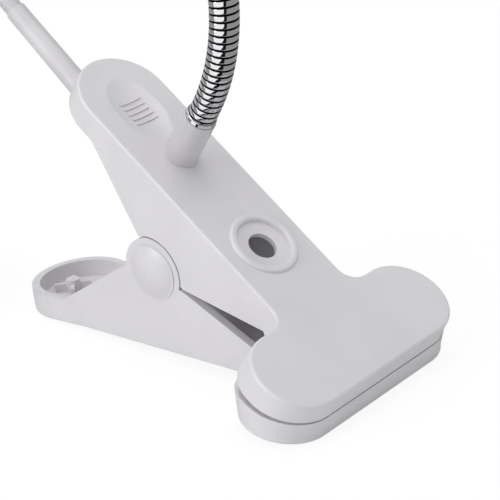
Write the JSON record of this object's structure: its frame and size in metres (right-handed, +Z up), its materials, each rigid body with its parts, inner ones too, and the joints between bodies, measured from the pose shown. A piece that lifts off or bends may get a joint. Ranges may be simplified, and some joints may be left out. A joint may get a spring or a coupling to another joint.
{
  "type": "clip on reading lamp",
  "caption": "Clip-on LED reading lamp with a sprung clip, a flexible metal neck, a small bell-shaped head and a USB cord.",
  "frame": {"origin": "middle of the lamp without its cord, on the surface that it stands on", "axes": "+X towards the jaw, +Z up, the clip pivot along Y"},
  "size_m": [0.2723, 0.1053, 0.2475],
  "materials": {
    "white_plastic": "satin white moulded plastic",
    "liner_rubber": "matt dark rubber",
    "steel": "plain bright steel",
    "cap_plastic": "smooth white plastic",
    "spring_steel": "drawn spring wire",
    "collar_plastic": "satin pale grey plastic",
    "chrome": "bright chromed steel",
    "cord_plastic": "satin pale grey flexible plastic",
    "core_plastic": "insulated cores, one blue and one brown",
    "plug_steel": "nickel-plated pressed steel",
    "tongue_plastic": "white moulded plastic",
    "head_plastic": "satin white moulded plastic",
    "button_plastic": "satin grey plastic",
    "board": "solder-masked glass-fibre board",
    "switch_plastic": "black moulded plastic",
    "aluminium": "plain cast aluminium",
    "led": "yellow phosphor over white body",
    "reflector": "white gloss plastic",
    "diffuser": "frosted translucent plastic"
  },
  "bodies": {
    "clip_base": {"upper_arm": "white_plastic", "upper_jaw_liner": "liner_rubber", "neck_collar": "collar_plastic", "neck_ferrule": "chrome", "neck_foot": "chrome", "neck_nut": "steel", "neck_link_0": "chrome", "strain_relief": "cord_plastic", "clip_wires": "core_plastic", "cord_tube": "cord_plastic", "cord_coil": "cord_plastic", "cord_end": "cord_plastic", "plug_body": "cord_plastic", "plug_shell": "plug_steel", "plug_tongue": "tongue_plastic"},
    "lower_jaw": {"lower_arm": "white_plastic", "lower_jaw_liner": "liner_rubber", "pivot_pin": "steel", "pivot_cap_near": "cap_plastic", "pivot_cap_far": "cap_plastic", "jaw_spring": "spring_steel"},
    "neck_1": {"neck_link_1": "chrome"},
    "neck_2": {"neck_link_2": "chrome"},
    "neck_3": {"neck_link_3": "chrome"},
    "neck_4": {"neck_link_4": "chrome"},
    "neck_5": {"neck_link_5": "chrome"},
    "neck_6": {"neck_link_6": "chrome"},
    "neck_7": {"neck_link_7": "chrome"},
    "lamp_head": {"neck_link_8": "chrome", "neck_tip": "chrome", "head_nut": "steel", "head_shell": "head_plastic", "head_wires": "core_plastic", "driver_board": "board", "switch_body": "switch_plastic", "heat_sink": "aluminium", "led_board": "board", "leds": "led", "board_screws": "steel", "reflector": "reflector", "diffuser": "diffuser", "lens_ring": "head_plastic"},
    "button": {"switch_button": "button_plastic"}
  },
  "joints": [
    {"name": "jaw_hinge", "type": "hinge", "parent": "clip_base", "child": "lower_jaw", "pos_m": [-0.0447, 0, 0.02398], "axis": [0, 1, 0], "range_deg": [0, 45], "stiffness_Nm_per_rad": 0.6, "springref_deg": -68.75, "deforming": ["jaw_spring"]},
    {"name": "neck_bend_1", "type": "hinge", "parent": "clip_base", "child": "neck_1", "pos_m": [-0.0337, 0, 0.06381], "axis": [0, 1, 0], "range_deg": [-25, 15]},
    {"name": "neck_sway_2", "type": "hinge", "parent": "neck_1", "child": "neck_2", "pos_m": [-0.02353, 0, 0.0956], "axis": [0.9998, 0, 0.0221], "range_deg": [-25, 25]},
    {"name": "neck_bend_3", "type": "hinge", "parent": "neck_2", "child": "neck_3", "pos_m": [-0.03014, 0, 0.12878], "axis": [0, 1, 0], "range_deg": [-25, 15]},
    {"name": "neck_sway_4", "type": "hinge", "parent": "neck_3", "child": "neck_4", "pos_m": [-0.0441, 0, 0.15976], "axis": [0.8889, 0, 0.4581], "range_deg": [-25, 25]},
    {"name": "neck_bend_5", "type": "hinge", "parent": "neck_4", "child": "neck_5", "pos_m": [-0.05299, 0, 0.19232], "axis": [0, 1, 0], "range_deg": [-25, 15]},
    {"name": "neck_sway_6", "type": "hinge", "parent": "neck_5", "child": "neck_6", "pos_m": [-0.0434, 0, 0.22422], "axis": [0.8014, 0, -0.5981], "range_deg": [-25, 25]},
    {"name": "neck_bend_7", "type": "hinge", "parent": "neck_6", "child": "neck_7", "pos_m": [-0.01554, 0, 0.24249], "axis": [0, 1, 0], "range_deg": [-25, 15]},
    {"name": "neck_sway_8", "type": "hinge", "parent": "neck_7", "child": "lamp_head", "pos_m": [0.01767, 0, 0.23916], "axis": [-0.4184, 0, -0.9083], "range_deg": [-25, 25]},
    {"name": "switch_press", "type": "slide", "parent": "lamp_head", "child": "button", "axis": [0.5774, 0, -0.8165], "range_m": [0, 0.0015], "stiffness_N_per_m": 200, "springref_m": -0.002}
  ]
}
